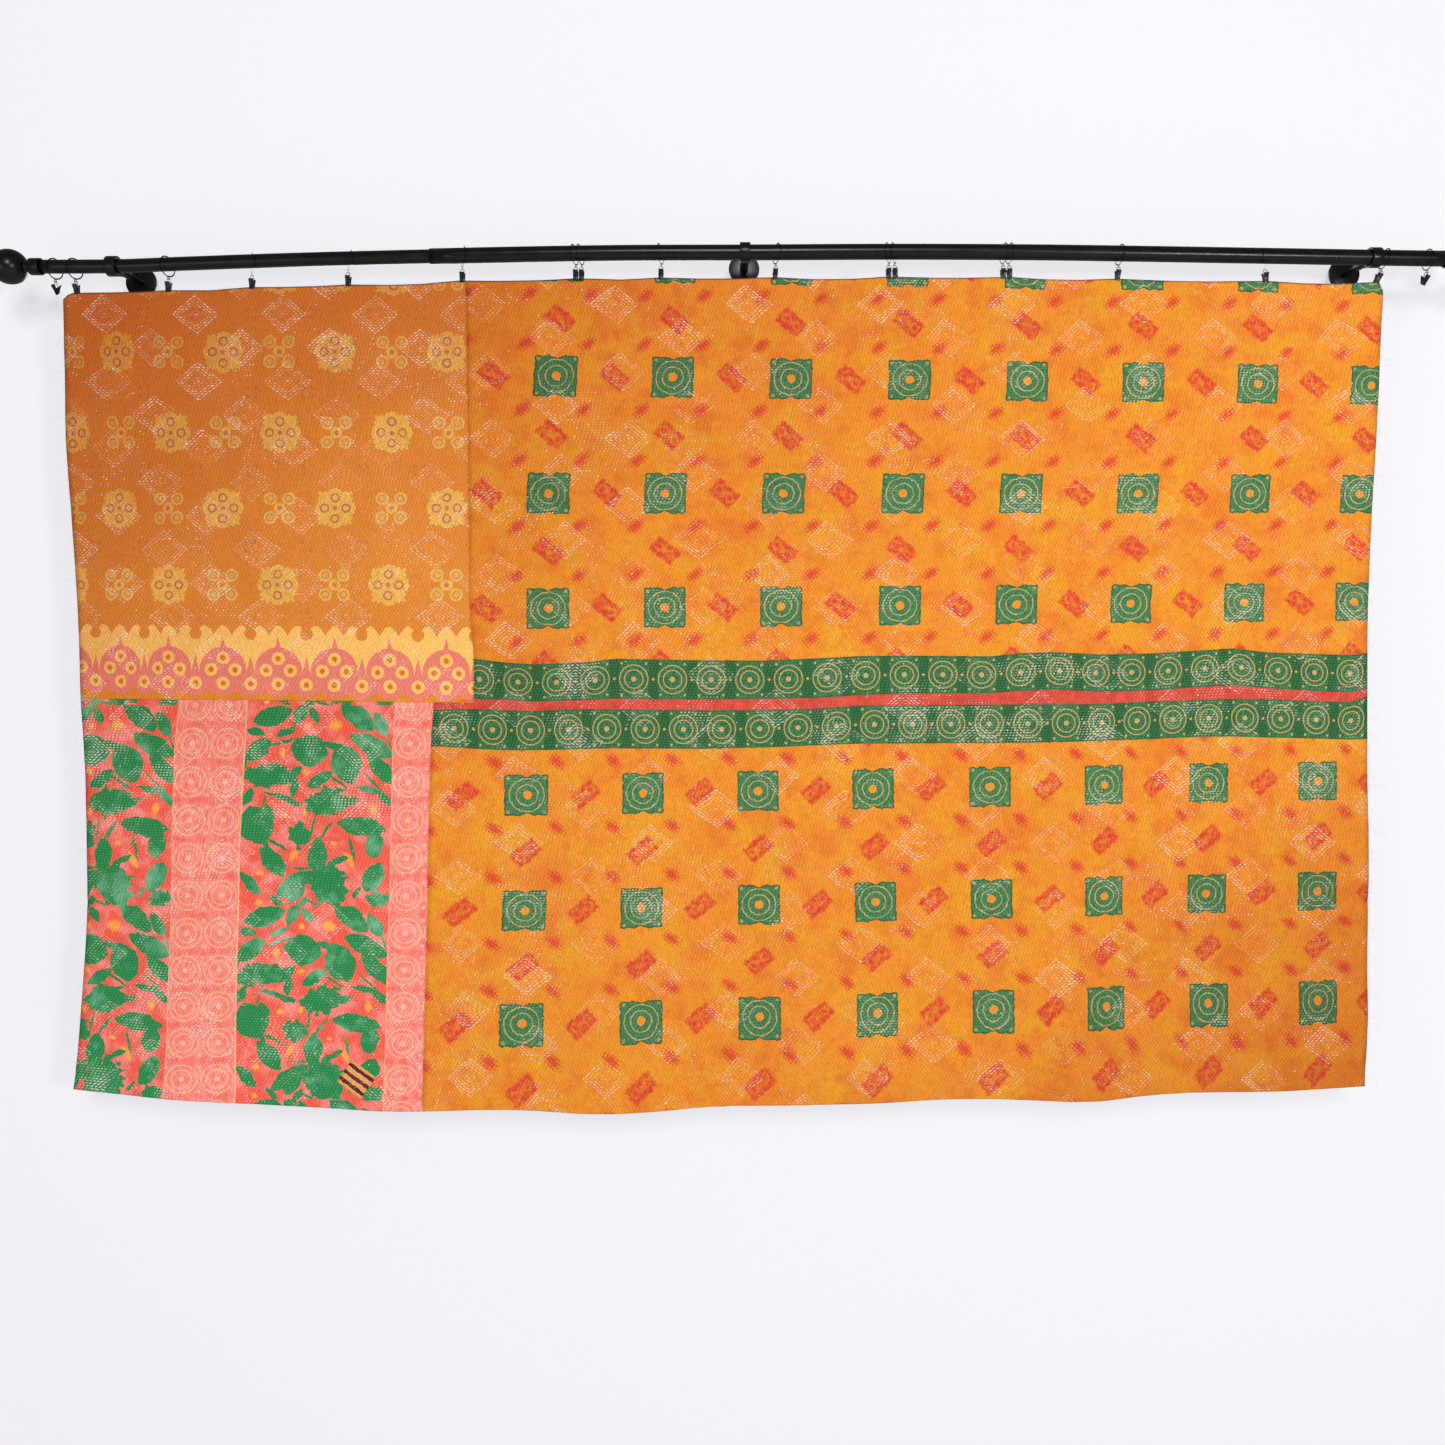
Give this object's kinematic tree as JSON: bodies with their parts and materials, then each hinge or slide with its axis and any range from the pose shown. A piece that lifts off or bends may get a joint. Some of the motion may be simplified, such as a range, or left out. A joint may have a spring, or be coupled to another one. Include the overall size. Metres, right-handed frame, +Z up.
{
  "type": "kantha quilt on curtain rod with clip rings",
  "caption": "Patchwork running-stitch cotton quilt hung flat by clip rings from a bowed telescoping curtain rod with wall brackets and ball finials.",
  "frame": {"origin": "centre of the middle wall plate's flat back face", "axes": "+X along the rod to the viewer's right, +Y out of the plates' backs, away from the viewer, +Z up"},
  "size_m": [2.4336, 0.1227, 1.4199],
  "materials": {
    "quilt_cloth": "worn block-printed cotton with rows of running stitch",
    "loose_thread": "loose cotton sewing thread",
    "rod_black": "satin black powder coat",
    "ring_black": "black lacquered steel wire",
    "clip_black": "black plated pressed steel"
  },
  "bodies": {
    "root": {"quilt": "quilt_cloth", "thread_ends_left": "loose_thread", "thread_ends_right": "loose_thread", "rod_outer_tube": "rod_black", "rod_inner_tube": "rod_black", "wall_plate_left": "rod_black", "wall_plate_middle": "rod_black", "wall_plate_right": "rod_black", "bracket_arm_left": "rod_black", "bracket_arm_middle": "rod_black", "bracket_arm_right": "rod_black", "rod_cap_left": "rod_black", "rod_cap_right": "rod_black", "ball_finial_left": "rod_black", "ball_finial_right": "rod_black", "ring_01": "ring_black", "ring_02": "ring_black", "ring_03": "ring_black", "ring_04": "ring_black", "ring_05": "ring_black", "ring_06": "ring_black", "ring_07": "ring_black", "ring_08": "ring_black", "ring_09": "ring_black", "ring_10": "ring_black", "ring_11": "ring_black", "ring_12": "ring_black", "ring_13": "ring_black", "ring_14": "ring_black", "ring_15": "ring_black", "ring_16": "ring_black", "ring_17": "ring_black", "ring_18": "ring_black", "clip_01": "clip_black", "clip_02": "clip_black", "clip_03": "clip_black", "clip_04": "clip_black", "clip_05": "clip_black", "clip_06": "clip_black", "clip_07": "clip_black", "clip_08": "clip_black", "clip_09": "clip_black", "clip_10": "clip_black", "clip_11": "clip_black", "clip_12": "clip_black", "clip_13": "clip_black", "clip_14": "clip_black", "clip_15": "clip_black", "clip_16": "clip_black", "clip_17": "clip_black", "clip_18": "clip_black"}
  },
  "joints": []
}
